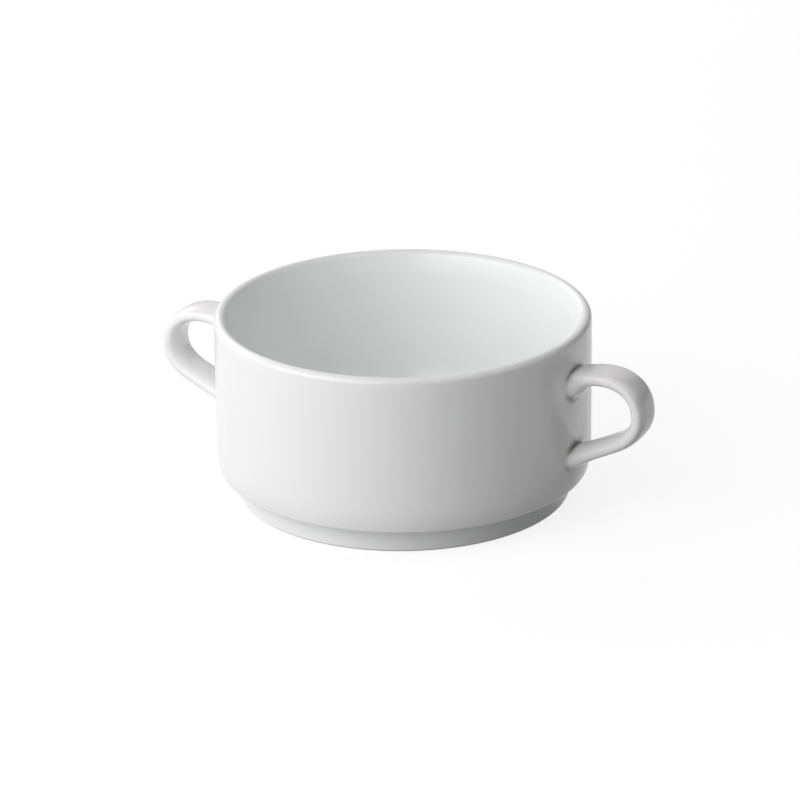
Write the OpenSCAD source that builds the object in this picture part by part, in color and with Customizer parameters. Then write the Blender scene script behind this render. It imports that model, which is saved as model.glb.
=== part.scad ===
// A straight-sided soup bowl with two loop lugs, made to stack on its own kind.
// The origin is the middle of the foot's seat, +Z is up and the lugs lie along X.

/* [Bowl] */
// Outside diameter of the wall and rim
bowl_d = 105; // [96:1:130]
// Height from the table to the top of the rim
bowl_h = 52.5; // [48:0.5:75]
// Thickness of the wall below the bevelled lip
wall_t = 4.3; // [4:0.1:6]
// Thickness of the full-round rim
rim_t = 3.5; // [2.6:0.1:3.9]
// Height of the bevel inside the rim that guides the foot of the next bowl
lip_h = 3.9; // [3:0.1:8]
// How much the inside narrows from the bevel down to the floor corner
inside_draft = 1.1; // [0:0.1:2]
// Radius of the inside corner between wall and floor
floor_corner_r = 13; // [6:0.5:16]
// Thickness of the floor
floor_t = 5; // [3.5:0.1:7]

/* [Shoulder] */
// Height above the table where the wall starts to draw in
shoulder_z = 14.2; // [11:0.1:18]
// Radius of the drawn-in shoulder
shoulder_r = 24; // [16:0.5:40]
// Radius of the edge between the shoulder and its underside
shoulder_edge_r = 0.8; // [0.4:0.1:1.4]

/* [Foot ring] */
// Outside diameter of the foot ring
foot_d = 93; // [84:0.5:94]
// Height of the foot ring up to the underside of the shoulder
foot_h = 7.6; // [6:0.1:9]
// Width of the foot ring, outside to inside
foot_w = 4.8; // [3:0.1:7]
// Depth of the hollow under the floor
hollow_h = 3.6; // [1.5:0.1:5]
// Radius of the foot ring's ground edges
foot_edge_r = 0.7; // [0.3:0.1:1.2]

/* [Lugs] */
// How far the middle of the lug stands out from the wall
lug_reach = 19.8; // [16:0.1:26]
// Height of the middle of the upper root
upper_root_z = 39.5; // [37:0.1:42]
// Height of the highest point of the lug's middle line
crown_z = 42.9; // [42.5:0.1:45]
// Height where the lug's middle line stands out farthest
belly_z = 33.2; // [31:0.1:36]
// Height of the middle of the lower root
lower_root_z = 18.1; // [15:0.1:20]
// Slope of the straight lower branch, in degrees
branch_slope = 26; // [18:1:30]
// Thickness of the strap, inside to outside of the loop
strap_t = 4.5; // [3.5:0.1:6]
// Width of the strap, front to back
strap_w = 11.2; // [9:0.1:14]
// Extra thickness of the strap at its upper root
upper_flare = 2.9; // [0:0.1:4]
// Extra thickness of the strap at its lower root
lower_flare = 1.2; // [0:0.1:4]
// Length over which a root widens
flare_l = 5; // [3:0.1:8]

/* [Slip joints] */
// Thickness of the slip joint between the wall and a root
slip_t = 0.8; // [0.5:0.1:1.2]
// How far the bead of slip spreads past the root on the wall
slip_spread = 0.9; // [0.3:0.1:1.5]

/* [Hidden] */

glaze = "#f4f4f2";

// Overrun of every cutting shape
cut = 2;
// Depth to which the strap's sweep runs into the wall, before the wall is cut from it
root_in = 2.7;

bowl_r = bowl_d / 2;
rim_r = rim_t / 2;
rim_z = bowl_h - rim_r;
rim_ring_r = bowl_r - rim_r;
foot_r = foot_d / 2;
foot_in_r = foot_r - foot_w;
floor_z = hollow_h + floor_t;

// Inside of the wall: its radius under the bevel and beside the floor corner
bevel_z = rim_z - lip_h;
bevel_r = bowl_r - wall_t;
lip_r = bowl_r - rim_t;
corner_z = floor_z + floor_corner_r;
corner_side_r = bevel_r - inside_draft;
corner_ring_r = corner_side_r - floor_corner_r;

// The small edge circle touches the shoulder circle from inside
edge_z = foot_h + shoulder_edge_r;
shoulder_ring_r = bowl_r - shoulder_r;
edge_turn = asin((shoulder_z - edge_z) / (shoulder_r - shoulder_edge_r));
edge_ring_r = shoulder_ring_r + (shoulder_r - shoulder_edge_r) * cos(edge_turn);

// Roundness of the turned pieces
turned_fn = 240;
edge_fn = 96;
edge_steps = 10;
shoulder_steps = 12;

// The lug's middle line runs through four Bezier pieces: root, crown, belly and lower branch
piece_steps = 12;
strap_sides = 32;
// How square the strap's section is: 2 is an ellipse
strap_power = 2.3;
root_pull_share = 0.4;
crown_in_share = 0.47;
crown_out_share = 0.55;
belly_up_share = 0.66;
belly_down_share = 0.5;
branch_pull_share = 0.36;
// Where the crown and the top of the straight branch lie along the reach
crown_at_share = 0.47;
branch_top_share = 0.66;

belly_r = bowl_r + lug_reach;
crown_r = bowl_r + lug_reach * crown_at_share;
branch_r = bowl_r + lug_reach * branch_top_share;
branch_z = lower_root_z + (branch_r - bowl_r) * tan(branch_slope);
root_in_r = bowl_r - root_in;
root_rise = crown_z - upper_root_z;
root_run = crown_r - bowl_r;
// The middle line enters the wall along its own slope there
root_slope = atan(2 * root_rise / root_run);
root_in_z = upper_root_z - root_in * tan(root_slope);
lower_in_z = lower_root_z - root_in * tan(branch_slope);

// Point of a cubic Bezier piece
function bezier(p, t) =
    pow(1 - t, 3) * p[0] + 3 * t * pow(1 - t, 2) * p[1] + 3 * t * t * (1 - t) * p[2] + pow(t, 3) * p[3];

root_piece = [
    [root_in_r, root_in_z],
    [root_in_r, root_in_z] + (root_run + root_in) * root_pull_share * [1, tan(root_slope)],
    [crown_r - (root_run + root_in) * crown_in_share, crown_z],
    [crown_r, crown_z]
];
crown_piece = [
    [crown_r, crown_z],
    [crown_r + (belly_r - crown_r) * crown_out_share, crown_z],
    [belly_r, belly_z + (crown_z - belly_z) * belly_up_share],
    [belly_r, belly_z]
];
belly_piece = [
    [belly_r, belly_z],
    [belly_r, belly_z - (belly_z - branch_z) * belly_down_share],
    [branch_r, branch_z] + lug_reach * branch_pull_share * [cos(branch_slope), sin(branch_slope)] / 2,
    [branch_r, branch_z]
];
branch_piece = [
    [branch_r, branch_z],
    [branch_r, branch_z] + ([root_in_r, lower_in_z] - [branch_r, branch_z]) / 3,
    [root_in_r, lower_in_z] + ([branch_r, branch_z] - [root_in_r, lower_in_z]) / 3,
    [root_in_r, lower_in_z]
];
pieces = [root_piece, crown_piece, belly_piece, branch_piece];

// Middle line of the whole lug, as [distance from the axis, height]
line = [
    for (k = [0 : len(pieces) - 1], i = [(k == 0 ? 0 : 1) : piece_steps])
        bezier(pieces[k], i / piece_steps)
];
last = len(line) - 1;

// Points along an arc, without its first point
function arc(centre, r, from, to, steps) = [
    for (i = [1 : steps])
        let (a = from + (to - from) * i / steps)
        centre + r * [cos(a), sin(a)]
];

// Direction of a line of points at its point i
function heading(points, i) =
    let (a = points[max(i - 1, 0)], b = points[min(i + 1, len(points) - 1)])
    (b - a) / norm(b - a);

// Extra thickness at a height of the strap that stands off the wall by d
function flare(d, extra) = extra * exp(-pow(max(d, 0) / flare_l, 2) * 2);

// Half thickness of the strap at point i: each half of the line widens towards its own root
function half_t(points, i, crest) =
    strap_t / 2 + flare(points[i][0] - bowl_r, i < crest ? upper_flare : lower_flare) / 2;

function power(v, e) = sign(v) * pow(abs(v), e);

// Ring of points round the middle line, with a grown section
function ring(p, h, half_thick, half_wide) = [
    for (j = [0 : strap_sides - 1])
        let (
            a = 360 * j / strap_sides,
            u = half_thick * power(cos(a), 2 / strap_power),
            v = half_wide * power(sin(a), 2 / strap_power)
        )
        [p[0] - u * h[1], v, p[1] + u * h[0]]
];

// Solid through a list of rings with as many points each
module skin(rings) {
    n = len(rings[0]);
    m = len(rings);
    sides = [
        for (i = [0 : m - 2], j = [0 : n - 1], half = [0, 1])
            half == 0
                ? [i * n + j, i * n + (j + 1) % n, (i + 1) * n + j]
                : [i * n + (j + 1) % n, (i + 1) * n + (j + 1) % n, (i + 1) * n + j]
    ];
    start = [for (j = [n - 1 : -1 : 0]) j];
    end = [for (j = [0 : n - 1]) (m - 1) * n + j];
    polyhedron(points = [for (r = rings, p = r) p], faces = concat(sides, [start, end]), convexity = 6);
}

// Whole strap, running into the wall at both roots
module strap() {
    skin([
        for (i = [0 : last])
            ring(line[i], heading(line, i), half_t(line, i, last / 2), strap_w / 2)
    ]);
}

// Bead of slip round one root, widest on the wall
module bead(upper) {
    span = [for (i = [0 : last]) if (line[i][0] < bowl_r + slip_t + cut && (upper == (i < last / 2))) i];
    skin([
        for (i = span)
            let (
                rest = max(0, 1 - max(line[i][0] - bowl_r, 0) / slip_t),
                grow = slip_spread * rest * rest
            )
            ring(line[i], heading(line, i), half_t(line, i, last / 2) + grow, strap_w / 2 + grow)
    ]);
}

module wall_cylinder(r) {
    translate([0, 0, -cut])
        cylinder(r = r, h = bowl_h + 2 * cut, $fn = turned_fn);
}

module lug() {
    difference() {
        strap();
        wall_cylinder(bowl_r + slip_t);
    }
}

module slip_joint(upper) {
    difference() {
        intersection() {
            bead(upper);
            wall_cylinder(bowl_r + slip_t);
        }
        wall_cylinder(bowl_r);
    }
}

// Half section of the outside of the bowl, up to the middle of the rim
module bowl_outline() {
    polygon(concat(
        [[0, hollow_h], [foot_in_r, hollow_h], [foot_in_r, foot_h], [edge_ring_r, foot_h]],
        arc([edge_ring_r, edge_z], shoulder_edge_r, -90, -edge_turn, edge_steps),
        arc([shoulder_ring_r, shoulder_z], shoulder_r, -edge_turn, 0, shoulder_steps),
        [[bowl_r, rim_z], [0, rim_z]]
    ));
}

// Half section of the space inside the bowl
module inside_outline() {
    translate([0, floor_z])
        square([corner_ring_r, floor_corner_r]);
    translate([corner_ring_r, corner_z])
        circle(r = floor_corner_r, $fn = turned_fn);
    polygon([
        [0, corner_z],
        [corner_side_r, corner_z],
        [bevel_r, bevel_z],
        [lip_r, rim_z],
        [lip_r, rim_z + cut],
        [0, rim_z + cut]
    ]);
}

module bowl_body() {
    color(glaze)
        rotate_extrude($fn = turned_fn) {
            difference() {
                bowl_outline();
                inside_outline();
            }
            translate([rim_ring_r, rim_z])
                circle(r = rim_r, $fn = edge_fn);
        }
}

module foot_ring() {
    color(glaze)
        rotate_extrude($fn = turned_fn) {
            translate([foot_in_r, foot_edge_r])
                square([foot_w, foot_h - foot_edge_r]);
            translate([foot_in_r + foot_edge_r, 0])
                square([foot_w - 2 * foot_edge_r, foot_edge_r]);
            for (x = [foot_in_r + foot_edge_r, foot_r - foot_edge_r])
                translate([x, foot_edge_r])
                    circle(r = foot_edge_r, $fn = edge_fn);
        }
}

module lug_right() {
    color(glaze)
        lug();
}

module lug_left() {
    color(glaze)
        rotate([0, 0, 180])
            lug();
}

module slip_right_upper() {
    color(glaze)
        slip_joint(true);
}

module slip_right_lower() {
    color(glaze)
        slip_joint(false);
}

module slip_left_upper() {
    color(glaze)
        rotate([0, 0, 180])
            slip_joint(true);
}

module slip_left_lower() {
    color(glaze)
        rotate([0, 0, 180])
            slip_joint(false);
}

bowl_body();
foot_ring();
lug_left();
lug_right();
slip_left_upper();
slip_left_lower();
slip_right_upper();
slip_right_lower();
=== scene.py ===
"""Looks of a stacking soup bowl with two loop lugs, in white glazed porcelain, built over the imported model."""

import logging
import math
from collections.abc import Mapping, Sequence
from dataclasses import dataclass, field
from enum import Enum

import bmesh
import bpy
from bpy.types import Material, Mesh, Node, NodeSocket, NodeTree, Object
from mathutils import Matrix, Vector


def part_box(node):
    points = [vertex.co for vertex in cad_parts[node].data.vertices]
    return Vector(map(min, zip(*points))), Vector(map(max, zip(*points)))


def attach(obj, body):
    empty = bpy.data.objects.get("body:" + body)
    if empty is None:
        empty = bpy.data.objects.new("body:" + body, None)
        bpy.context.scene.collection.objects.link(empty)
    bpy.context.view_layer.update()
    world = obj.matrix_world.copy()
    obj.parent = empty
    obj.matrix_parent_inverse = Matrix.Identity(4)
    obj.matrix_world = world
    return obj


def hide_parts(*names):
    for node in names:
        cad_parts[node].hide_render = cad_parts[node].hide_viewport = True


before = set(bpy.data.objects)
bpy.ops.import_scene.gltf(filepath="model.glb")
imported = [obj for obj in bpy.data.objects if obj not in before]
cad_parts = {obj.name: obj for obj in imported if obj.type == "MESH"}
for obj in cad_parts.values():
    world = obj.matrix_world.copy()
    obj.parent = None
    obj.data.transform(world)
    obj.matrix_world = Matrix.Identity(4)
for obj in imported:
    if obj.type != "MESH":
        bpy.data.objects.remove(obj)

LOG = logging.getLogger("soup_bowl")

# One millimetre in Blender's metres
MM = 0.001
# The photograph's width and height in pixels
PHOTO_PX = 800
# Folds sharper than this stay crisp, and all others shade as one glazed surface
CRISP_FOLD_DEG = 50.0
# Points closer than this are one point
SAME_POINT_M = 2e-7
# A corner that turns less than this needs no arc, and any other has at least so many steps
STRAIGHT_RAD = 1e-4
LEAST_ARC_STEPS = 3
# An arc that would fill the edge beside it stops a trace short, so that its end is a point of its own
SHORT_OF_FULL = 0.999
# Noise runs from 0 to 1 about this
NOISE_MIDDLE = 0.5
# Exponent of the bell curve of a root's flare at one flare length
BELL_FALL = -2.0
# Height above the table that the lamps face
LAMP_AIM_MM = 30.0
# Nearest and farthest thing that the camera sees
CLIP_M = (0.01, 100.0)

# Attributes of points: the fine line of grime and painted shade round a root, a strap's ring, the place round it, and
# its extra thickness
CREASE_GRIME_AND_SHADE = "crease_grime_and_shade"
RING = "ring"
PLACE = "place"
FLARE = "root_flare"

# Types of the nodes that are used most
MATH = "ShaderNodeMath"
VECTOR_MATH = "ShaderNodeVectorMath"
MAP_RANGE = "ShaderNodeMapRange"
COMBINE = "ShaderNodeCombineXYZ"
SEPARATE = "ShaderNodeSeparateXYZ"
MIX = "ShaderNodeMix"
NOISE = "ShaderNodeTexNoise"
SAMPLE = "GeometryNodeSampleIndex"
# Setting of a ramp that starts and ends softly
SOFT_ENDS = {"interpolation_type": "SMOOTHSTEP"}

# Socket type of each type of value
SOCKETS = {int: "NodeSocketInt", float: "NodeSocketFloat", Material: "NodeSocketMaterial"}

SocketValue = object
Point2 = tuple[float, float]
Corner = tuple[float, float, float]


def linear(colour: str) -> tuple[float, float, float, float]:
    """Turns an sRGB hex colour to linear.

    Args:
        colour: The colour as "#rrggbb".

    Returns:
        Red, green, blue and an alpha of one, all linear.
    """
    parts = [int(colour[i:i + 2], 16) / 255 for i in (1, 3, 5)]
    red, green, blue = (c / 12.92 if c <= 0.04045 else ((c + 0.055) / 1.055) ** 2.4 for c in parts)
    return red, green, blue, 1.0


def add(
    tree: NodeTree,
    kind: str,
    values: Mapping[str | int, SocketValue] | Sequence[SocketValue] = (),
    **settings: object,
) -> Node:
    """Adds a node with its settings, and fills or links its inputs.

    Args:
        tree: The tree that gets the node.
        kind: The node's type name.
        values: What goes into its inputs, by name, by place or in order. A node stands for its first output.
        **settings: Properties of the node.

    Returns:
        The new node.
    """
    node = tree.nodes.new(kind)
    for name, setting in settings.items():
        setattr(node, name, setting)
    pairs = values.items() if isinstance(values, Mapping) else enumerate(values)
    for key, value in pairs:
        source = value.outputs[0] if isinstance(value, Node) else value
        if isinstance(source, NodeSocket):
            tree.links.new(source, node.inputs[key])
        else:
            node.inputs[key].default_value = source
    return node


def axis_distance(tree: NodeTree, place: SocketValue) -> NodeSocket:
    """Adds the nodes that give a place's distance from the bowl's axis."""
    flat = add(tree, VECTOR_MATH, (place, (1.0, 1.0, 0.0)), operation="MULTIPLY")
    return add(tree, VECTOR_MATH, (flat,), operation="LENGTH").outputs["Value"]


def blank_tree(owner: Material | bpy.types.World) -> NodeTree:
    """Empties the tree of a material or a world.

    Args:
        owner: The material or the world.

    Returns:
        Its tree, without nodes.
    """
    owner.use_nodes = True
    owner.node_tree.nodes.clear()
    return owner.node_tree


def close_finish(tree: NodeTree, colour: SocketValue, roughness: SocketValue, ior: float, bump: Node) -> None:
    """Ends a finish's tree with its shader.

    Args:
        tree: The tree to end.
        colour: Base colour.
        roughness: Roughness.
        ior: Refractive index.
        bump: The bump node.
    """
    values = {"Base Color": colour, "Roughness": roughness, "IOR": ior, "Normal": bump}
    shader = add(tree, "ShaderNodeBsdfPrincipled", values)
    add(tree, "ShaderNodeOutputMaterial", {"Surface": shader})


def scene_object(name: str, data: bpy.types.ID) -> Object:
    """Makes an object and puts it in the scene.

    Args:
        name: Its name.
        data: Its mesh, lamp or camera.

    Returns:
        The object.
    """
    made = bpy.data.objects.new(name, data)
    bpy.context.scene.collection.objects.link(made)
    return made


def direction(azimuth_deg: float, elevation_deg: float) -> Vector:
    """Gives the way from the bowl to a place round it, by its turn from straight in front and its height."""
    turn, rise = math.radians(azimuth_deg), math.radians(elevation_deg)
    return Vector((math.sin(turn) * math.cos(rise), -math.cos(turn) * math.cos(rise), math.sin(rise)))


def shape_tree(name: str, inputs: Mapping[str, object]) -> tuple[NodeTree, Mapping[str, NodeSocket]]:
    """Makes an empty Geometry Nodes tree with named inputs.

    Args:
        name: The tree's name.
        inputs: Each input's name and value.

    Returns:
        The tree, and its inputs by name, with "Geometry" for the mesh that it starts from.
    """
    tree = bpy.data.node_groups.new(name, "GeometryNodeTree")
    tree.interface.new_socket("Geometry", in_out="INPUT", socket_type="NodeSocketGeometry")
    for label, value in inputs.items():
        tree.interface.new_socket(label, in_out="INPUT", socket_type=SOCKETS[type(value)])
    tree.interface.new_socket("Geometry", in_out="OUTPUT", socket_type="NodeSocketGeometry")
    return tree, tree.nodes.new("NodeGroupInput").outputs


def wrapped_grid(
    tree: NodeTree, rows: SocketValue, around: SocketValue, full_turn: SocketValue
) -> tuple[Node, Node, Node, Node]:
    """Adds a grid that is to be wrapped round, with one column more than it has sides.

    Args:
        tree: The tree.
        rows: Its number of rows.
        around: Its number of sides.
        full_turn: The angle all the way round.

    Returns:
        The grid, and the row, column and angle of each of its points.
    """
    columns = add(tree, MATH, (around, 1.0), operation="ADD")
    grid = add(tree, "GeometryNodeMeshGrid", {"Vertices X": rows, "Vertices Y": columns})
    index = add(tree, "GeometryNodeInputIndex")
    ratio = add(tree, MATH, (index, columns), operation="DIVIDE")
    row = add(tree, MATH, (ratio,), operation="FLOOR")
    column = add(tree, MATH, (index, columns), operation="FLOORED_MODULO")
    share = add(tree, MATH, (column, around), operation="DIVIDE")
    turn = add(tree, MATH, (share, full_turn), operation="MULTIPLY")
    return grid, row, column, turn


def close_tree(tree: NodeTree, shape: Node, material: NodeSocket) -> None:
    """Ends a tree: merged points, smooth faces, real instances and the material.

    Args:
        tree: The tree to end.
        shape: The node that gives the finished surface.
        material: The socket that gives the material.
    """
    merged = add(tree, "GeometryNodeMergeByDistance", {"Geometry": shape, "Distance": SAME_POINT_M})
    smooth = add(tree, "GeometryNodeSetShadeSmooth", {"Geometry": merged, "Shade Smooth": True})
    real = add(tree, "GeometryNodeRealizeInstances", {"Geometry": smooth})
    dressed = add(tree, "GeometryNodeSetMaterial", {"Geometry": real, "Material": material})
    add(tree, "NodeGroupOutput", {"Geometry": dressed})


def line_object(name: str, points: Sequence[Vector]) -> Object:
    """Makes an object whose mesh is an open line of points.

    Args:
        name: The object's name.
        points: The points in metres.

    Returns:
        The linked object.
    """
    mesh = bpy.data.meshes.new(name)
    mesh.from_pydata([tuple(p) for p in points], [(i, i + 1) for i in range(len(points) - 1)], [])
    return scene_object(name, mesh)


def run_tree(made: Object, tree: NodeTree, inputs: Mapping[str, object]) -> None:
    """Runs a Geometry Nodes tree on an object and keeps its result as a plain mesh.

    Args:
        made: The object, whose mesh the tree starts from.
        tree: The tree.
        inputs: Each input's name and value.
    """
    modifier = made.modifiers.new(tree.name, "NODES")
    modifier.node_group = tree
    for socket in tree.interface.items_tree:
        if socket.name in inputs:
            modifier[socket.identifier] = inputs[socket.name]
    graph = bpy.context.evaluated_depsgraph_get()
    graph.update()
    evaluated = made.evaluated_get(graph)
    mesh = bpy.data.meshes.new_from_object(evaluated, preserve_all_data_layers=True, depsgraph=graph)
    made.modifiers.remove(modifier)
    mesh.name = made.name
    made.data = mesh


def face_out(mesh: Mesh) -> None:
    """Turns a closed mesh's faces outwards and marks its crisp folds.

    Args:
        mesh: The closed mesh.
    """
    work = bmesh.new()
    work.from_mesh(mesh)
    if work.calc_volume(signed=True) < 0:
        bmesh.ops.reverse_faces(work, faces=work.faces)
    work.to_mesh(mesh)
    work.free()
    mesh.shade_smooth()
    mesh.set_sharp_from_angle(angle=math.radians(CRISP_FOLD_DEG))


@dataclass(frozen=True)
class Outline:
    """Half section of a turned piece, as corners with rounding.

    Attributes:
        corners: Each corner as distance from the axis, height and rounding radius, in millimetres.
        closed: Whether the outline runs back to its first corner.
        arc_step_deg: Largest turn between two points of an arc.
        run_mm: Longest distance between two points of a straight stretch.
    """

    corners: tuple[Corner, ...]
    closed: bool = False
    arc_step_deg: float = 7.0
    run_mm: float = 3.0

    def _rounding(self, before: Vector, at: Vector, after: Vector, radius: float) -> list[Vector]:
        """Gives the points that stand for one corner.

        Args:
            before: The corner before it.
            at: The corner itself.
            after: The corner after it.
            radius: The rounding radius in millimetres.

        Returns:
            The corner alone, or the points of its arc.
        """
        back, on = (before - at).normalized(), (after - at).normalized()
        turn = math.pi - back.angle(on)
        if radius <= 0 or turn < STRAIGHT_RAD:
            return [at]
        reach = radius * math.tan(turn / 2)
        start, end = at + back * reach, at + on * reach
        centre = at + (back + on).normalized() * (radius / math.cos(turn / 2))
        steps = max(LEAST_ARC_STEPS, math.ceil(math.degrees(turn) / self.arc_step_deg))
        from_centre, to_centre = start - centre, end - centre
        sweep = from_centre.angle_signed(to_centre)
        return [centre + Matrix.Rotation(-sweep * k / steps, 2) @ from_centre for k in range(steps + 1)]

    def points(self) -> list[Vector]:
        """Gives the outline's points in the XZ plane, in metres."""
        flat = [Vector(c[:2]) for c in self.corners]
        count = len(flat)
        run: list[Vector] = []
        for i, corner in enumerate(self.corners):
            inner = self.closed or 0 < i < count - 1
            run += self._rounding(flat[i - 1], flat[i], flat[(i + 1) % count], corner[2]) if inner else [flat[i]]
        if self.closed:
            run.append(run[0].copy())
        full = [run[0]]
        for here, there in zip(run, run[1:]):
            steps = max(1, math.ceil((there - here).length / self.run_mm))
            full += [here.lerp(there, k / steps) for k in range(1, steps + 1)]
        return [Vector((p.x * MM, 0.0, p.y * MM)) for p in full]


@dataclass(frozen=True)
class TurnedForm:
    """Turns a half section round the axis, as the jigger and the fettling wheel do.

    Attributes:
        facets: Facets round the axis.
        waver_mm: How far the fired wall strays from true round.
        waver_every_mm: Distance between two such bulges.
        seed: Fixed seed of the waver.
    """

    facets: int = 288
    waver_mm: float = 0.06
    waver_every_mm: float = 70.0
    seed: float = 3.0

    def build(self, name: str, outline: Outline, material: Material) -> Object:
        """Builds the turned piece.

        Args:
            name: The object's name.
            outline: Its half section.
            material: Its finish.

        Returns:
            The finished object.
        """
        inputs = {
            "Facets": self.facets,
            "Waver": self.waver_mm * MM,
            "Waver spacing": self.waver_every_mm * MM,
            "Seed": self.seed,
            "Full turn": math.tau,
            "Material": material,
        }
        tree, given = shape_tree("turned_form", inputs)
        line, spacing = given["Geometry"], given["Waver spacing"]
        count = add(tree, "GeometryNodeAttributeDomainSize", {"Geometry": line})
        grid, row, _, turn = wrapped_grid(tree, count, given["Facets"], given["Full turn"])
        place = add(tree, "GeometryNodeInputPosition")
        point = add(
            tree, SAMPLE, {"Geometry": line, "Value": place, "Index": row}, data_type="FLOAT_VECTOR", clamp=True
        )
        flat = add(tree, SEPARATE, (point,))
        radius = flat.outputs["X"]
        cosine, sine = (add(tree, MATH, (turn,), operation=wave) for wave in ("COSINE", "SINE"))
        across = add(tree, COMBINE, (cosine, sine, 0.0))
        level = add(tree, COMBINE, (0.0, 0.0, flat.outputs["Z"]))
        true_place = add(tree, VECTOR_MATH, (across, radius, level), operation="MULTIPLY_ADD")
        finer = add(tree, MATH, (1.0, spacing), operation="DIVIDE")
        waves = add(
            tree,
            NOISE,
            {"Vector": true_place, "W": given["Seed"], "Scale": finer, "Detail": 0.0},
            noise_dimensions="4D",
        )
        swing = add(tree, MATH, (waves, NOISE_MIDDLE), operation="SUBTRACT")
        bulge = add(tree, MATH, (swing, given["Waver"]), operation="MULTIPLY")
        # The middle of the floor stays where it is, and the rim wavers most
        held = add(tree, MATH, (radius, spacing), operation="DIVIDE")
        stray = add(tree, MATH, (bulge, held), operation="MULTIPLY")
        reach = add(tree, MATH, (radius, stray), operation="ADD")
        fired = add(tree, VECTOR_MATH, (across, reach, level), operation="MULTIPLY_ADD")
        moved = add(tree, "GeometryNodeSetPosition", {"Geometry": grid, "Position": fired})
        close_tree(tree, moved, given["Material"])

        made = line_object(name, outline.points())
        run_tree(made, tree, inputs)
        face_out(made.data)
        return made


@dataclass(frozen=True)
class RootShade:
    """Painted shade in the soft corners over and under the lugs' roots, which greys the glaze there.

    Attributes:
        wall_mm: Outer radius of the wall.
        roots: Height, half height and half width of each root's outline on the wall.
        reach_mm: How far the shade reaches from that outline.
        beside: How high over a root's middle it starts, as a share of half its height.
        above: How high it is full.
        off_wall_mm: How far it reaches from the wall along the strap.
        depth: How much of the painted shade's colour it takes where it is strongest.
    """

    wall_mm: float = 52.5
    roots: tuple[tuple[float, float, float], ...] = ((39.8, 3.9, 5.2), (18.6, 3.1, 5.2))
    reach_mm: float = 2.7
    beside: float = 0.25
    above: float = 0.95
    off_wall_mm: float = 2.2
    depth: float = 1.0

    def mask(self, tree: NodeTree, place: NodeSocket) -> NodeSocket:
        """Adds the nodes that give the shade's strength.

        Args:
            tree: The material's tree.
            place: The place on the piece, in metres.

        Returns:
            The strength, from 0 to its depth.
        """
        nearest = None
        for height, half_height, half_width in self.roots:
            centred = add(tree, VECTOR_MATH, (place, (0.0, 0.0, height * MM)), operation="SUBTRACT")
            scale = (0.0, 1 / (half_width * MM), 1 / (half_height * MM))
            on_root = add(tree, VECTOR_MATH, (centred, scale), operation="MULTIPLY")
            share = add(tree, VECTOR_MATH, (on_root,), operation="LENGTH").outputs["Value"]
            off = add(tree, MATH, (share, 1.0), operation="SUBTRACT")
            away = add(tree, MATH, (off,), operation="ABSOLUTE")
            reach = 2 * self.reach_mm / (half_height + half_width)
            near = add(tree, MAP_RANGE, (away, 0.0, reach, 1.0, 0.0), **SOFT_ENDS)
            level = add(tree, SEPARATE, (on_root,)).outputs["Z"]
            steep = add(tree, MATH, (level,), operation="ABSOLUTE")
            over = add(tree, MAP_RANGE, (steep, self.beside, self.above), **SOFT_ENDS)
            there = add(tree, MATH, (near, over), operation="MULTIPLY")
            nearest = there if nearest is None else add(tree, MATH, (nearest, there), operation="MAXIMUM")
        beyond = add(tree, MATH, (axis_distance(tree, place), self.wall_mm * MM), operation="SUBTRACT")
        gap = add(tree, MATH, (beyond,), operation="ABSOLUTE")
        fade = add(tree, MAP_RANGE, (gap, 0.0, self.off_wall_mm * MM, self.depth, 0.0), **SOFT_ENDS)
        return add(tree, MATH, (nearest, fade), operation="MULTIPLY").outputs[0]


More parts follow.
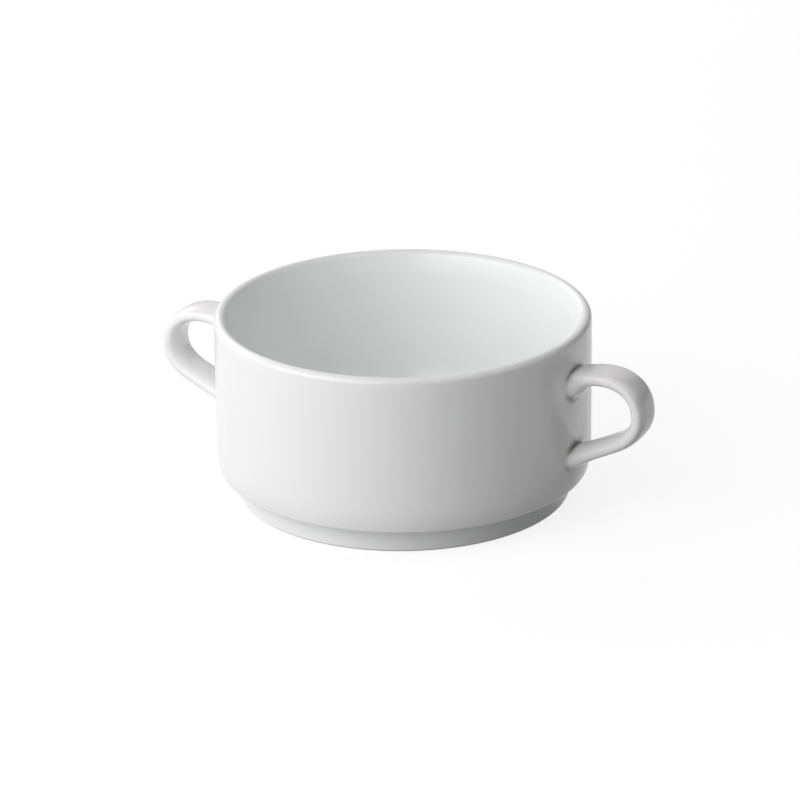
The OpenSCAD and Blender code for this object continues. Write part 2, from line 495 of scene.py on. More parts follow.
@dataclass(frozen=True)
class Glaze:
    """Clear feldspar glaze fired on white hard porcelain: an even, slightly soft gloss with a faint slow ripple.

    The body under it gives a clean white that greys coolly where light has bounced often.

    Attributes:
        name: The material's name.
        body: Colour of the fired body under the glaze.
        roughness: Roughness of the gloss, whose fine skin softens reflections.
        ior: Refractive index of the glaze.
        ripple_every_mm: Distance between two ripples of the glaze.
        ripple_um: Height of a ripple.
        ripple_detail: How much finer waves add to it.
        ripple_finer: Height of each finer wave, as a share of the one before.
        speck: Colour of an iron speck in the body.
        speck_every_mm: Distance between two places where a speck may lie.
        speck_mm: Radius of a speck, drawn a little coarse so that it shows.
        speck_core: Share of that radius within which its colour is full.
        speck_odds: Share of those places that hold one.
        shade: Painted shade round the lugs' roots.
        painted_root_shade: Colour of that painted shade where it is strongest.
        crease_grime_and_shade: Colour of the fine line round a root: grime and painted shade over it, painted shadow
            under it.
        crease_roughness: Roughness of that line.
    """

    name: str = "glazed_porcelain"
    body: str = "#f6f8f8"
    roughness: float = 0.22
    ior: float = 1.52
    ripple_every_mm: float = 11.0
    ripple_um: float = 14.0
    ripple_detail: float = 1.5
    ripple_finer: float = 0.45
    speck: str = "#8d8a82"
    speck_every_mm: float = 16.0
    speck_mm: float = 0.16
    speck_core: float = 0.5
    speck_odds: float = 0.12
    shade: RootShade = field(default_factory=RootShade)
    # Colour of the painted shade round the roots
    painted_root_shade: str = "#b4b3ad"
    # Colour of the fine line round a root: grime and painted shade
    crease_grime_and_shade: str = "#746e63"
    crease_roughness: float = 0.5

    def dress(self) -> Material:
        """Makes the material."""
        material = bpy.data.materials.new(self.name)
        tree = blank_tree(material)
        place = add(tree, "ShaderNodeTexCoord").outputs["Object"]
        ripple = add(
            tree,
            NOISE,
            {
                "Vector": place,
                "Scale": 1 / (self.ripple_every_mm * MM),
                "Detail": self.ripple_detail,
                "Roughness": self.ripple_finer,
            },
        )
        bump = add(tree, "ShaderNodeBump", {"Height": ripple, "Strength": 1.0, "Distance": self.ripple_um * MM * MM})
        every = 1 / (self.speck_every_mm * MM)
        cells = add(tree, "ShaderNodeTexVoronoi", {"Vector": place, "Scale": every, "Randomness": 1.0}).outputs
        edge = self.speck_mm / self.speck_every_mm
        near = add(tree, MAP_RANGE, (cells["Distance"], edge, self.speck_core * edge))
        chance = add(tree, "ShaderNodeSeparateColor", (cells["Color"],)).outputs["Red"]
        held = add(tree, MATH, (chance, self.speck_odds), operation="LESS_THAN")
        speck = add(tree, MATH, (near, held), operation="MULTIPLY")
        # The fine line round a root: grime and painted shade over it, painted shadow under it
        line = add(tree, "ShaderNodeAttribute", attribute_name=CREASE_GRIME_AND_SHADE).outputs["Fac"]
        colour: SocketValue = linear(self.body)
        # Over the body's colour go the painted shade round the roots, the fine line of grime and painted shade, and
        # the specks
        for share, over in ((self.shade.mask(tree, place), self.painted_root_shade), (line, self.crease_grime_and_shade), (speck, self.speck)):
            colour = add(tree, MIX, {0: share, 6: colour, 7: linear(over)}, data_type="RGBA").outputs[2]
        rough = add(tree, MAP_RANGE, (line, 0.0, 1.0, self.roughness, self.crease_roughness))
        close_finish(tree, colour, rough, self.ior, bump)
        return material


@dataclass(frozen=True)
class FootFinish:
    """The same glaze on the foot's sides, wiped off its seat, which is ground bare porcelain.

    The bare body is matt, slightly warmer than the glaze and a little grained.

    Attributes:
        name: The material's name.
        glaze: The glaze above the wiped line.
        bare: Colour of the ground seat.
        bare_roughness: Roughness of the ground seat.
        line_mm: Height of the wiped line above the table.
        line_waver_mm: How far that line strays.
        line_every_mm: Distance over which it strays to one side.
        line_soft_mm: Half the height over which the glaze thins out.
        grain_mm: Grain of the ground seat, drawn a little coarse so that it shows.
        grain_depth_mm: Depth of the grain.
        grain_strength: How far the grain tilts the light.
    """

    name: str = "foot_glaze_with_ground_seat"
    glaze: Glaze = field(default_factory=Glaze)
    bare: str = "#dcd8cf"
    bare_roughness: float = 0.75
    line_mm: float = 0.45
    line_waver_mm: float = 0.25
    line_every_mm: float = 6.0
    line_soft_mm: float = 0.08
    grain_mm: float = 0.35
    grain_depth_mm: float = 0.03
    grain_strength: float = 0.6

    def dress(self) -> Material:
        """Makes the material."""
        material = bpy.data.materials.new(self.name)
        tree = blank_tree(material)
        place = add(tree, "ShaderNodeTexCoord").outputs["Object"]
        height = add(tree, SEPARATE, (place,)).outputs["Z"]
        waves = add(tree, NOISE, {"Vector": place, "Scale": 1 / (self.line_every_mm * MM), "Detail": 1.0})
        stray = add(tree, MATH, (waves, NOISE_MIDDLE), operation="SUBTRACT")
        line = add(tree, MATH, (stray, self.line_waver_mm * MM, height), operation="MULTIPLY_ADD")
        glazed, wiped = self.line_mm + self.line_soft_mm, self.line_mm - self.line_soft_mm
        bare = add(tree, MAP_RANGE, (line, glazed * MM, wiped * MM))
        grain = add(tree, NOISE, {"Vector": place, "Scale": 1 / (self.grain_mm * MM), "Detail": 2.0})
        grained = add(tree, MATH, (grain, bare), operation="MULTIPLY")
        depth = self.grain_depth_mm * MM
        bump = add(tree, "ShaderNodeBump", {"Height": grained, "Strength": self.grain_strength, "Distance": depth})
        colour = add(
            tree, MIX, {0: bare, 6: linear(self.glaze.body), 7: linear(self.bare)}, data_type="RGBA"
        ).outputs[2]
        rough = add(tree, MAP_RANGE, (bare, 0.0, 1.0, self.glaze.roughness, self.bare_roughness))
        close_finish(tree, colour, rough, self.glaze.ior, bump)
        return material


@dataclass
class Bowl:
    """The turned body: a straight wall on a drawn-in shoulder, with a bevelled lip inside the rim.

    The outer radius and the heights of rim and underside come from the frame.

    Attributes:
        node: The CAD node that the piece stands for.
        rim_mm: Thickness of the full-round rim.
        rim_round_mm: Rounding radius of the rim.
        bevel_h_mm: Height of the bevel below the middle of the rim.
        bevel_soft_mm: Rounding of the bevel's lower edge.
        wall_mm: Thickness of the wall below the bevel.
        draft_mm: How much the inside narrows from there to the floor corner.
        corner_mm: Radius of the corner between wall and floor.
        floor_mm: Thickness of the floor.
        shoulder_z_mm: Height where the wall starts to draw in.
        shoulder_mm: Radius of the shoulder.
        edge_mm: Rounding of the edge under the shoulder.
        foot_in_mm: How far inside the foot's width the body starts.
    """

    node: str = "bowl_body"
    rim_mm: float = 3.5
    rim_round_mm: float = 1.68
    bevel_h_mm: float = 3.9
    bevel_soft_mm: float = 6.0
    wall_mm: float = 4.3
    draft_mm: float = 1.1
    corner_mm: float = 13.0
    floor_mm: float = 5.0
    shoulder_z_mm: float = 14.2
    shoulder_mm: float = 24.0
    edge_mm: float = 0.8
    foot_in_mm: float = 1.2

    def radius_mm(self) -> float:
        """Gives the outer radius of the wall."""
        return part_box(self.node)[1].x / MM

    def outline(self) -> Outline:
        """Gives the half section, from the underside's middle round to the floor's middle."""
        low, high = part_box(self.node)
        foot_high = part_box("foot_ring")[1]
        radius, top, under = high.x / MM, high.z / MM, low.z / MM
        foot_top, foot_r = foot_high.z / MM, foot_high.x / MM
        rim_z = top - self.rim_mm / 2
        bevel_z = rim_z - self.bevel_h_mm
        lip_r, bevel_r = radius - self.rim_mm, radius - self.wall_mm
        # The bevel's line runs on up to the height of the rim
        crest_r = lip_r + (lip_r - bevel_r) * (top - rim_z) / self.bevel_h_mm
        floor_z = under + self.floor_mm
        side_r = bevel_r - self.draft_mm
        corner_z = floor_z + self.corner_mm
        floor_side_r = side_r - self.draft_mm * self.corner_mm / (bevel_z - corner_z)
        # The shoulder's arc ends on the small edge circle, which it touches from outside
        drop = self.shoulder_z_mm - foot_top - self.edge_mm
        turn = math.asin(drop / (self.shoulder_mm - self.edge_mm))
        tangent = self.shoulder_mm * math.tan(turn / 2)
        end_r = radius - self.shoulder_mm * (1 - math.cos(turn))
        end_z = self.shoulder_z_mm - self.shoulder_mm * math.sin(turn)
        heel_r = end_r - (end_z - foot_top) * math.tan(turn)
        inner_r = foot_r - self.foot_in_mm
        return Outline(
            (
                (0.0, under, 0.0),
                (inner_r - self.foot_in_mm, under, 0.0),
                (inner_r, foot_top, 0.0),
                (heel_r, foot_top, self.edge_mm),
                (radius, self.shoulder_z_mm - tangent, self.shoulder_mm),
                (radius, top, self.rim_round_mm),
                (crest_r, top, self.rim_round_mm),
                (bevel_r, bevel_z, self.bevel_soft_mm),
                (floor_side_r, floor_z, self.corner_mm),
                (0.0, floor_z, 0.0),
            )
        )

    def build(self, glaze: Material) -> Object:
        """Builds and dresses the body.

        Args:
            glaze: Its finish.

        Returns:
            The finished piece.
        """
        made = TurnedForm().build("bowl", self.outline(), glaze)
        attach(made, "root")
        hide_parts(self.node)
        return made


@dataclass
class Foot:
    """The foot ring, with glaze run into the corner under the shoulder and a ground seat.

    Attributes:
        node: The CAD node that the piece stands for.
        edge_mm: Rounding of the ground edges.
        fillet_mm: Radius of the glaze in the corner under the shoulder.
        inner_fillet_mm: Radius of the glaze in the corner of the hollow.
        tuck_mm: How far the ring runs into the body above it.
    """

    node: str = "foot_ring"
    edge_mm: float = 0.7
    fillet_mm: float = 0.8
    inner_fillet_mm: float = 1.0
    tuck_mm: float = 0.5

    def outline(self) -> Outline:
        """Gives the ring's closed half section."""
        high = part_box(self.node)[1]
        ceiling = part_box("bowl_body")[0].z / MM
        outer, top = high.x / MM, high.z / MM
        inner = self.inner_radius_mm()
        return Outline(
            (
                (inner, 0.0, self.edge_mm),
                (outer, 0.0, self.edge_mm),
                (outer, top, self.fillet_mm * SHORT_OF_FULL),
                (outer + self.fillet_mm, top, 0.0),
                (outer + self.fillet_mm, top + self.tuck_mm, 0.0),
                (inner - self.inner_fillet_mm, top + self.tuck_mm, 0.0),
                (inner - self.inner_fillet_mm, ceiling, 0.0),
                (inner, ceiling, self.inner_fillet_mm * SHORT_OF_FULL),
            ),
            closed=True,
        )

    def inner_radius_mm(self) -> float:
        """Gives the ring's inner radius, from the points of the CAD ring nearest the axis."""
        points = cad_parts[self.node].data.vertices
        return min(math.hypot(v.co.x, v.co.y) for v in points) / MM

    def build(self, finish: Material) -> Object:
        """Builds and dresses the foot.

        Args:
            finish: Its finish.

        Returns:
            The finished piece.
        """
        made = TurnedForm().build("foot", self.outline(), finish)
        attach(made, "root")
        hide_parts(self.node)
        return made


class Side(Enum):
    """The side of the bowl that a lug stands on: the sign of its X."""

    LEFT = -1
    RIGHT = 1


class Root(Enum):
    """One of a lug's two roots."""

    UPPER = "upper"
    LOWER = "lower"


@dataclass(frozen=True)
class Blend:
    """Reach of the clay blend round a root, by place on the strap's section.

    Attributes:
        top_mm: Reach over the strap.
        side_mm: Reach beside it.
        under_mm: Reach under it.
    """

    top_mm: float
    side_mm: float
    under_mm: float

    def reach_mm(self, rise: float) -> float:
        """Gives the reach at one place round the section.

        Args:
            rise: Sine of the place's angle: 1 over the strap, 0 beside it and -1 under it.

        Returns:
            The reach in millimetres.
        """
        end = self.top_mm if rise > 0 else self.under_mm
        return self.side_mm + (end - self.side_mm) * rise * rise


@dataclass
class Lug:
    """A cast loop lug: a strap along a line that rises from its upper root, rounds a belly and runs back down.

    The sizes are those of the model's lug, in millimetres.

    Attributes:
        side: The side it stands on.
        wall_r: Outer radius of the wall that it stands on.
        reach: How far the line's belly stands off the wall.
        upper_z: Height of the upper root's middle.
        crown_z: Height of the crown.
        belly_z: Height of the belly.
        lower_z: Height of the lower root's middle.
        slope_deg: Slope of the straight lower branch.
        crown_share: Distance of the crown from the wall, as a share of the reach.
        branch_share: Distance of the straight branch's start, likewise.
        pulls: Pulls of the curve's handles, from the upper root to the branch, as shares of its stretches.
        thick: Thickness of the strap.
        wide: Width of the strap.
        upper_flare: Extra thickness at the upper root.
        lower_flare: Extra thickness at the lower root.
        flare_length: Length over which a root widens.
        tuck: How far the line runs into the wall.
        sunk: How deep the strap's end lies in the wall.
        outer_power: How square the section is on the loop's outside, where 2 is an ellipse.
        inner_power: How square it is on the loop's inside.
        steps: Points along each of the line's four pieces.
        sides: Points round the section.
    """

    side: Side
    wall_r: float
    reach: float = 19.8
    upper_z: float = 39.5
    crown_z: float = 42.9
    belly_z: float = 33.2
    lower_z: float = 18.1
    slope_deg: float = 26.0
    crown_share: float = 0.47
    branch_share: float = 0.66
    pulls: tuple[float, ...] = (0.4, 0.47, 0.55, 0.66, 0.5, 0.18)
    thick: float = 4.5
    wide: float = 11.2
    upper_flare: float = 2.9
    lower_flare: float = 1.2
    flare_length: float = 5.0
    tuck: float = 2.7
    sunk: float = 1.4
    outer_power: float = 3.0
    inner_power: float = 2.1
    steps: int = 22
    sides: int = 64

    def name(self) -> str:
        """Gives the lug's name, which is also that of its CAD node."""
        return f"lug_{self.side.name.lower()}"

    def _pieces(self) -> list[tuple[Vector, Vector, Vector, Vector]]:
        """Gives the four Bezier pieces of the middle line, as distance from the axis and height."""
        root_out, crown_in, crown_out, belly_in, belly_out, branch_in = self.pulls
        slope = math.tan(math.radians(self.slope_deg))
        belly_r = self.wall_r + self.reach
        run, along = self.reach * self.crown_share, self.reach * self.branch_share
        crown_r = self.wall_r + run
        branch = Vector((self.wall_r + along, self.lower_z + along * slope))
        rise = 2 * (self.crown_z - self.upper_z) / run
        start = Vector((self.wall_r - self.tuck, self.upper_z - self.tuck * rise))
        crown, belly = Vector((crown_r, self.crown_z)), Vector((belly_r, self.belly_z))
        end = Vector((self.wall_r - self.tuck, self.lower_z - self.tuck * slope))
        pull = run + self.tuck
        lean = Vector((1.0, slope)).normalized() * self.reach * branch_in
        over = Vector(((belly_r - crown_r) * crown_out, 0.0))
        up = Vector((0.0, (self.crown_z - self.belly_z) * belly_in))
        down = Vector((0.0, (self.belly_z - branch.y) * belly_out))
        return [
            (start, start + Vector((1.0, rise)) * pull * root_out, crown - Vector((pull * crown_in, 0.0)), crown),
            (crown, crown + over, belly + up, belly),
            (belly, belly - down, branch + lean, branch),
            (branch, branch.lerp(end, 1 / 3), branch.lerp(end, 2 / 3), end),
        ]

    def line(self) -> list[Vector]:
        """Gives the points of the middle line in metres, from the upper root to the lower."""
        flat: list[Vector] = []
        for k, (a, b, c, d) in enumerate(self._pieces()):
            for i in range(0 if k == 0 else 1, self.steps + 1):
                t = i / self.steps
                flat.append(a * (1 - t) ** 3 + b * 3 * t * (1 - t) ** 2 + c * 3 * t * t * (1 - t) + d * t ** 3)
        return [Vector((self.side.value * p.x * MM, 0.0, p.y * MM)) for p in flat]

    def _tree(self, inputs: Mapping[str, object]) -> NodeTree:
        """Builds the tree that runs a strap along a line of points.

        Args:
            inputs: Each input's name and value.

        Returns:
            The tree.
        """
        tree, given = shape_tree("strap_along_line", inputs)
        line, wall = given["Geometry"], given["Wall radius"]
        count = add(tree, "GeometryNodeAttributeDomainSize", {"Geometry": line})
        # One more ring at each end, drawn together to a point, closes the strap
        rows = add(tree, MATH, (count, 2.0), operation="ADD")
        grid, row, column, turn = wrapped_grid(tree, rows, given["Sides"], given["Full turn"])
        ring = add(tree, MATH, (row, 1.0), operation="SUBTRACT")
        from_zero = add(tree, MATH, (ring, 0.0), operation="MAXIMUM")
        last = add(tree, MATH, (count, 1.0), operation="SUBTRACT")
        here = add(tree, MATH, (from_zero, last), operation="MINIMUM")
        before = add(tree, MATH, (here, 1.0), operation="SUBTRACT")
        after = add(tree, MATH, (here, 1.0), operation="ADD")
        place = add(tree, "GeometryNodeInputPosition")
        reading = {"Geometry": line, "Value": place}
        point, behind, ahead = (
            add(tree, SAMPLE, reading | {"Index": number}, data_type="FLOAT_VECTOR", clamp=True)
            for number in (here, before, after)
        )
        chord = add(tree, VECTOR_MATH, (ahead, behind), operation="SUBTRACT")
        heading = add(tree, VECTOR_MATH, (chord,), operation="NORMALIZE")
        across = add(tree, VECTOR_MATH, (heading, (0.0, 1.0, 0.0)), operation="CROSS_PRODUCT")

        # The strap thickens towards the wall along a bell curve
        from_wall = add(tree, MATH, (axis_distance(tree, point), wall), operation="SUBTRACT")
        outside = add(tree, MATH, (from_wall, 0.0), operation="MAXIMUM")
        reach = add(tree, MATH, (outside, given["Flare length"]), operation="DIVIDE")
        squared = add(tree, MATH, (reach, reach), operation="MULTIPLY")
        fall = add(tree, MATH, (squared, BELL_FALL), operation="MULTIPLY")
        fade = add(tree, MATH, (fall,), operation="EXPONENT")
        extra = add(tree, "GeometryNodeInputNamedAttribute", {"Name": FLARE}, data_type="FLOAT")
        flare = add(tree, SAMPLE, {"Geometry": line, "Value": extra, "Index": here}, data_type="FLOAT", clamp=True)
        thick = add(tree, MATH, (flare, fade, given["Strap thickness"]), operation="MULTIPLY_ADD")

        # Its section is squarer on the loop's outside than on its inside
        swung = add(tree, MATH, (turn,), operation="COSINE")
        facing = add(tree, MATH, (swung, given["Outer side"]), operation="MULTIPLY")
        outer = add(tree, MATH, (facing, 0.0), operation="GREATER_THAN")
        more = add(tree, MATH, (given["Outer power"], given["Inner power"]), operation="SUBTRACT")
        power = add(tree, MATH, (outer, more, given["Inner power"]), operation="MULTIPLY_ADD")
        lean = add(tree, MATH, (2.0, power), operation="DIVIDE")
        half_sizes = []
        for wave, size in (("COSINE", thick), ("SINE", given["Strap width"])):
            swing = add(tree, MATH, (turn,), operation=wave)
            whole = add(tree, MATH, (swing,), operation="ABSOLUTE")
            raised = add(tree, MATH, (whole, lean), operation="POWER")
            sign = add(tree, MATH, (swing,), operation="SIGN")
            signed = add(tree, MATH, (sign, raised), operation="MULTIPLY")
            half = add(tree, MATH, (size, 0.5), operation="MULTIPLY")
            half_sizes.append(add(tree, MATH, (signed, half), operation="MULTIPLY"))
        up, out = half_sizes
        rise = add(tree, VECTOR_MATH, {0: across, 3: up}, operation="SCALE")
        sideways = add(tree, COMBINE, (0.0, out, 0.0))
        offset = add(tree, VECTOR_MATH, (rise, sideways), operation="ADD")
        # The same ring number before and after clamping means an open ring, and any other a closed end
        clamped = add(tree, MATH, (ring, here, 0.5), operation="COMPARE")
        opened = add(tree, VECTOR_MATH, {0: offset, 3: clamped}, operation="SCALE")
        surface = add(tree, VECTOR_MATH, (point, opened), operation="ADD")

        # What would reach through the wall is pushed back out, to lie hidden in it
        radius = axis_distance(tree, surface)
        least = add(tree, MATH, (wall, given["Sunk"]), operation="SUBTRACT")
        kept = add(tree, MATH, (radius, least), operation="MAXIMUM")
        growth = add(tree, MATH, (kept, radius), operation="DIVIDE")
        spread = add(tree, COMBINE, (growth, growth, 1.0))
        seated = add(tree, VECTOR_MATH, (surface, spread), operation="MULTIPLY")
        shape = add(tree, "GeometryNodeSetPosition", {"Geometry": grid, "Position": seated})
        # Both edges of the seam have place 0, so that merging them keeps it
        spot = add(tree, MATH, (column, given["Sides"]), operation="FLOORED_MODULO")
        for label, number in ((RING, ring), (PLACE, spot)):
            values = {"Geometry": shape, "Name": label, "Value": number}
            shape = add(tree, "GeometryNodeStoreNamedAttribute", values, data_type="INT", domain="POINT")
        close_tree(tree, shape, given["Material"])
        return tree

    def build(self, glaze: Material) -> Object:
        """Builds and dresses the strap.

        Args:
            glaze: Its finish.

        Returns:
            The strap, whose points still carry their ring and their place round it.
        """
        points = self.line()
        made = line_object(self.name() + "_strap", points)
        flare = made.data.attributes.new(FLARE, "FLOAT", "POINT")
        for i, item in enumerate(flare.data):
            item.value = (self.upper_flare if i < len(points) / 2 else self.lower_flare) * MM
        inputs = {
            "Sides": self.sides,
            "Outer power": self.outer_power,
            "Inner power": self.inner_power,
            "Outer side": float(self.side.value),
            "Strap thickness": self.thick * MM,
            "Strap width": self.wide * MM,
            "Wall radius": self.wall_r * MM,
            "Sunk": self.sunk * MM,
            "Flare length": self.flare_length * MM,
            "Full turn": math.tau,
            "Material": glaze,
        }
        run_tree(made, self._tree(inputs), inputs)
        face_out(made.data)
        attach(made, "root")
        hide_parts(self.name())
        return made


@dataclass
class RootJoint:
    """The clay blend where a lug's root meets the wall: slip sponged into the corner, under the glaze.

    Attributes:
        lug: The lug that it holds.
        root: Which of the lug's roots.
        blend: Its reach round the section.
        steps: Rows from the strap down to the wall.
        sunk_mm: How deep its hidden back lies in the wall and in the strap.
        under_root_shade: Strength of the painted shadow under the root, where the line over it has 1.
    """

    lug: Lug
    root: Root
    blend: Blend
    steps: int = 14
    sunk_mm: float = 0.5
    # Strength of the painted shadow under a root
    under_root_shade: float = 0.6

    def node(self) -> str:
        """Gives the name of the CAD node that the joint stands for."""
        return f"slip_{self.lug.side.name.lower()}_{self.root.value}"

    def _lines(self, strap: Mesh) -> list[list[Vector]]:
        """Gives the strap's long lines, each from inside the wall outwards.

        Args:
            strap: The strap's mesh, with the ring and place of each point.

        Returns:
            One line of points for each place round the section.
        """
        rings, places = strap.attributes[RING].data, strap.attributes[PLACE].data
        spots = {(rings[v.index].value, places[v.index].value): v.co.copy() for v in strap.vertices}
        last = max(ring for ring, _ in spots) - 1
        order = range(0, last + 1) if self.root is Root.UPPER else range(last, -1, -1)
        return [[spots[ring, place] for ring in order] for place in range(self.lug.sides)]

    def _corner(self, line: Sequence[Vector], reach: float) -> tuple[Vector, Vector]:
        """Finds where a long line leaves the wall, and the point a given length further out along it.

        Args:
            line: The line's points from inside the wall outwards.
            reach: That length in metres.

        Returns:
            The point on the wall and the point on the strap.
        """
        wall = self.lug.wall_r * MM
        far = [p.xy.length for p in line]
        k = next(i for i in range(len(line) - 1) if far[i] <= wall < far[i + 1])
        corner = line[k].lerp(line[k + 1], (wall - far[k]) / (far[k + 1] - far[k]))
        here, left = corner, reach
        for there in line[k + 1:]:
            step = (there - here).length
            if step >= left:
                return corner, here.lerp(there, left / step)
            here, left = there, left - step
        return corner, here

    def _on_wall(self, point: Vector, depth: float = 0.0) -> Vector:
        """Moves a point square to the wall until it lies on it.

        Args:
            point: The point.
            depth: How deep under the wall's surface it goes, in metres.

        Returns:
            The moved point.
        """
        flat = point.xy.normalized() * (self.lug.wall_r * MM - depth)
        return Vector((flat.x, flat.y, point.z))

    def build(self, strap: Object, glaze: Material) -> Object:
        """Builds and dresses the blend.

        Args:
            strap: The lug's strap.
            glaze: Its finish.

        Returns:
            The finished piece.
        """
        lines = self._lines(strap.data)
        starts = [self._corner(line, 0.0)[0] for line in lines]
        middle = sum(starts, Vector()) / len(starts)
        half_rise = max(abs(p.z - middle.z) for p in starts)
        rows: list[list[Vector]] = []
        grime_and_shade_strengths: list[float] = []
        for line, corner in zip(lines, starts):
            rise = (corner.z - middle.z) / half_rise
            reach = self.blend.reach_mm(rise) * MM
            on_strap = self._corner(line, reach)[1]
            away = (corner - middle).normalized()
            on_wall = self._on_wall(corner + away * reach)
            run: list[Vector] = []
            for k in range(self.steps + 1):
                # Rows lie closer together at both ends, so that the ends are flush
                t = (1 - math.cos(math.pi * k / self.steps)) / 2
                run.append(on_strap * (1 - t) ** 2 + corner * 2 * t * (1 - t) + on_wall * t * t)
                # Over the root the line is grime with painted shade; under it, painted shadow
                strength = 1.0 if rise > 0 else self.under_root_shade
                grime_and_shade_strengths.append(strength * (rise * math.sin(math.pi * t)) ** 2)
            grime_and_shade_strengths.extend((0.0, 0.0))
            run.append(self._on_wall(on_wall, self.sunk_mm * MM))
            run.append(self._on_wall(corner - away * self.sunk_mm * MM, self.sunk_mm * MM))
            rows.append(run)
        around, along = len(rows), len(rows[0])
        mesh = bpy.data.meshes.new(self.node())
        mesh.from_pydata(
            [tuple(p) for run in rows for p in run],
            [],
            [
                (
                    j * along + k,
                    (j + 1) % around * along + k,
                    (j + 1) % around * along + (k + 1) % along,
                    j * along + (k + 1) % along,
                )
                for j in range(around)
                for k in range(along)
            ],
        )
        mesh.attributes.new(CREASE_GRIME_AND_SHADE, "FLOAT", "POINT").data.foreach_set("value", grime_and_shade_strengths)
        mesh.materials.append(glaze)
        face_out(mesh)
        made = scene_object(f"root_blend_{self.lug.side.name.lower()}_{self.root.value}", mesh)
        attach(made, "root")
        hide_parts(self.node())
        return made


@dataclass(frozen=True)
class Viewpoint:
    """The photograph's viewpoint: a long lens, a little above the rim.

    Attributes:
        azimuth_deg: Turn round the bowl from straight in front, towards the right lug.
        elevation_deg: Height above the table's plane.
        distance_mm: Distance from the camera to the bowl's middle.
        middle_mm: Height of the bowl's middle above the table.
        middle_px: Where the bowl's middle lies in the photograph, from its top left corner.
        roll_deg: How far the camera leans, which lifts the picture's right side.
        lens_mm: Focal length.
        sensor_mm: Width of the sensor.
    """

    azimuth_deg: float = 26.2
    elevation_deg: float = 21.636
    distance_mm: float = 1151.9
    middle_mm: float = 28.0
    middle_px: Point2 = (403.65, 393.08)
    roll_deg: float = 0.797
    lens_mm: float = 185.3
    sensor_mm: float = 36.0

    def set_up(self) -> Object:
        """Makes the camera."""
        turn = math.radians(self.azimuth_deg)
        back = direction(self.azimuth_deg, self.elevation_deg)
        level_right = Vector((math.cos(turn), math.sin(turn), 0.0))
        level_up = back.cross(level_right)
        lean = math.radians(self.roll_deg)
        right = level_right * math.cos(lean) - level_up * math.sin(lean)
        up = level_right * math.sin(lean) + level_up * math.cos(lean)
        middle = Vector((0.0, 0.0, self.middle_mm * MM))
        place = middle + back * self.distance_mm * MM
        # Size of one pixel at the bowl's middle
        pixel = self.distance_mm * MM * self.sensor_mm / (self.lens_mm * PHOTO_PX)
        centre_px = PHOTO_PX / 2
        aim = middle - right * (self.middle_px[0] - centre_px) * pixel
        aim += up * (self.middle_px[1] - centre_px) * pixel
        away = (place - aim).normalized()
        right = (right - away * right.dot(away)).normalized()
        up = away.cross(right)
        data = bpy.data.cameras.new("camera")
        data.sensor_fit = "HORIZONTAL"
        data.sensor_width = self.sensor_mm
        data.lens = self.lens_mm
        data.clip_start, data.clip_end = CLIP_M
        camera = scene_object("camera", data)
        camera.matrix_world = Matrix.Translation(place) @ Matrix((right, up, away)).transposed().to_4x4()
        bpy.context.scene.camera = camera
        return camera


@dataclass(frozen=True)
class Lamp:
    """A soft box that faces the bowl.

    Attributes:
        name: Its name.
        azimuth_deg: Turn round the bowl from the camera's own azimuth, to the right.
        elevation_deg: Height above the table's plane.
        size_mm: Its width and height.
        watts: Its power.
        distance_mm: Distance from the bowl.
        colour: Its colour.
    """

    name: str
    azimuth_deg: float
    elevation_deg: float
    size_mm: Point2
    watts: float
    distance_mm: float = 1000.0
    colour: str = "#fffdfd"

    def set_up(self, camera_azimuth_deg: float) -> Object:
        """Makes the lamp.

        Args:
            camera_azimuth_deg: The camera's azimuth.

        Returns:
            The lamp.
        """
        back = direction(camera_azimuth_deg + self.azimuth_deg, self.elevation_deg)
        data = bpy.data.lights.new(self.name, "AREA")
        data.shape = "RECTANGLE"
        data.size, data.size_y = (s * MM for s in self.size_mm)
        data.energy = self.watts
        data.color = linear(self.colour)[:3]
        lamp = scene_object(self.name, data)
        lamp.location = Vector((0.0, 0.0, LAMP_AIM_MM * MM)) + back * self.distance_mm * MM
        lamp.rotation_mode = "QUATERNION"
        lamp.rotation_quaternion = back.to_track_quat("Z", "Y")
        # A low view from another side sees the white studio behind it
        lamp.visible_camera = False
        return lamp


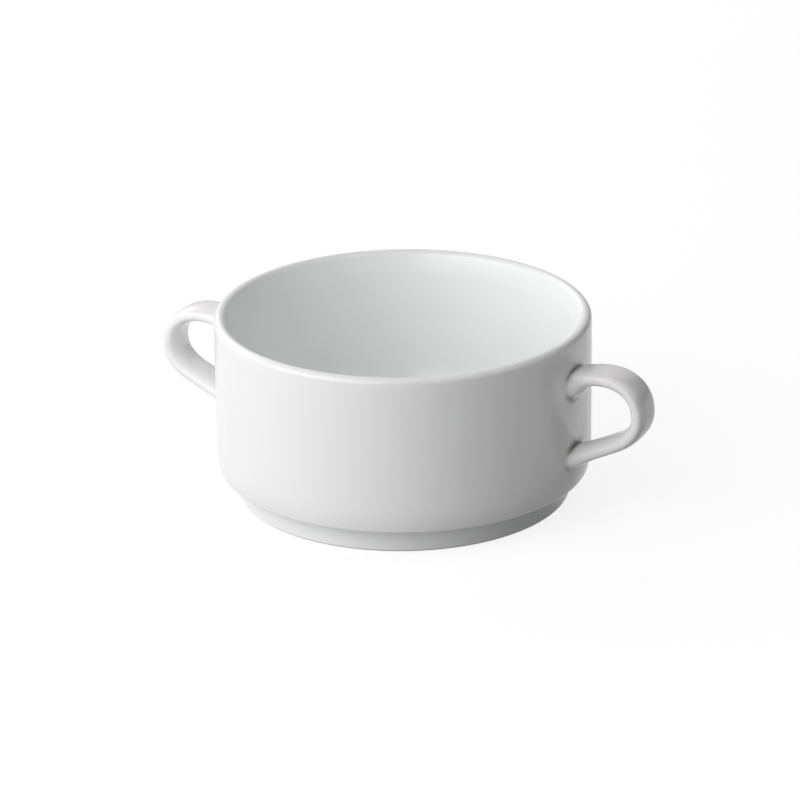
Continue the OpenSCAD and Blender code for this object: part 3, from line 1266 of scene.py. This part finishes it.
@dataclass
class Studio:
    """A pale table, soft boxes and a dim surround.

    Attributes:
        view: The camera's place.
        floor: Colour of the table, as it lights the bowl from below.
        floor_shown: Colour of the table where it is seen, under its own glow, so that it keeps the shadow.
        floor_glow: Glow of the table where it is seen: with its lit colour it makes white.
        floor_mm: Its width.
        near_mm: Distance from the bowl up to which it keeps shadows.
        far_mm: Distance from which it is plain white.
        room: Colour of the dim surround.
        lamps: The soft boxes.
    """

    view: Viewpoint = field(default_factory=Viewpoint)
    floor: str = "#959595"
    floor_shown: str = "#898989"
    floor_glow: float = 0.83
    floor_mm: float = 6000.0
    near_mm: float = 380.0
    far_mm: float = 850.0
    room: str = "#303030"
    lamps: tuple[Lamp, ...] = (
        Lamp("key", -62.0, 25.0, (640.0, 980.0), 5.49),
        Lamp("front_left", -28.0, 25.0, (560.0, 980.0), 3.81),
        Lamp("back_left", -125.0, 30.0, (600.0, 700.0), 1.58),
        Lamp("back_left_low", -150.0, 25.0, (600.0, 600.0), 1.35),
        Lamp("low_left", -95.0, 10.0, (600.0, 500.0), 1.11),
        Lamp("back", 178.0, 28.0, (1100.0, 750.0), 2.06),
        Lamp("right", 95.0, 38.0, (600.0, 500.0), 0.96),
        Lamp("high_right", 62.0, 66.0, (700.0, 500.0), 1.30),
    )

    def _floor(self) -> Object:
        """Makes the table, which keeps the bowl's shadow."""
        half = self.floor_mm * MM / 2
        mesh = bpy.data.meshes.new("floor")
        mesh.from_pydata([(-half, -half, 0), (half, -half, 0), (half, half, 0), (-half, half, 0)], [], [(0, 1, 2, 3)])
        material = bpy.data.materials.new("white_table")
        tree = blank_tree(material)
        path = add(tree, "ShaderNodeLightPath").outputs
        direct = add(tree, MATH, (path["Is Camera Ray"], path["Is Glossy Ray"]), operation="MAXIMUM")
        seen = add(tree, MATH, (direct, path["Is Transmission Ray"]), operation="MAXIMUM")
        lit = add(tree, "ShaderNodeBsdfDiffuse", {"Color": linear(self.floor)})
        shown = add(tree, "ShaderNodeBsdfDiffuse", {"Color": linear(self.floor_shown)})
        glow, plain = (
            add(tree, "ShaderNodeEmission", {"Color": linear("#ffffff"), "Strength": strength})
            for strength in (self.floor_glow, 1.0)
        )
        near = add(tree, "ShaderNodeAddShader", (shown, glow))
        # Further out, past the lamps, the table is plain white like the backdrop that it runs into
        place = add(tree, "ShaderNodeTexCoord").outputs["Object"]
        away = add(tree, VECTOR_MATH, (place,), operation="LENGTH").outputs["Value"]
        far = add(tree, MAP_RANGE, (away, self.near_mm * MM, self.far_mm * MM), **SOFT_ENDS)
        white = add(tree, "ShaderNodeMixShader", (far, near, plain))
        table = add(tree, "ShaderNodeMixShader", (seen, lit, white))
        add(tree, "ShaderNodeOutputMaterial", {"Surface": table})
        mesh.materials.append(material)
        made = scene_object("floor", mesh)
        return made

    def _room(self) -> None:
        """Makes the dim surround of the studio."""
        world = bpy.data.worlds.new("room")
        bpy.context.scene.world = world
        tree = blank_tree(world)
        glow = add(tree, "ShaderNodeBackground", {"Color": linear(self.room), "Strength": 1.0})
        add(tree, "ShaderNodeOutputWorld", {"Surface": glow})

    def set_up(self) -> None:
        """Makes the table, the surround, the lamps and the camera."""
        self._floor()
        self._room()
        for lamp in self.lamps:
            lamp.set_up(self.view.azimuth_deg)
        self.view.set_up()
        bpy.context.scene.view_settings.view_transform = "Standard"


def report(made: Object) -> None:
    """Logs a finished piece's size and faces.

    Args:
        made: The piece.
    """
    size = " x ".join(f"{d / MM:.1f}" for d in made.dimensions)
    LOG.info("%s: %s mm, %d faces", made.name, size, len(made.data.polygons))


def main() -> None:
    """Builds the studio and the bowl, piece by piece."""
    logging.basicConfig(level=logging.INFO, format="%(name)s: %(message)s")
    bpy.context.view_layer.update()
    Studio().set_up()
    glaze = Glaze().dress()
    # The cast lugs fire a trace warmer than the jiggered body
    cast = Glaze(name="glazed_cast_porcelain", body="#f8f8f8").dress()
    body = Bowl()
    report(body.build(glaze))
    report(Foot().build(FootFinish().dress()))
    blends = {
        Root.UPPER: Blend(top_mm=0.75, side_mm=1.0, under_mm=1.7),
        Root.LOWER: Blend(top_mm=0.85, side_mm=1.0, under_mm=1.5),
    }
    for side in Side:
        lug = Lug(side, body.radius_mm())
        strap = lug.build(cast)
        for root, blend in blends.items():
            report(RootJoint(lug, root, blend).build(strap, glaze))
        for label in (RING, PLACE):
            strap.data.attributes.remove(strap.data.attributes[label])
        report(strap)


if __name__ == "__main__":
    main()
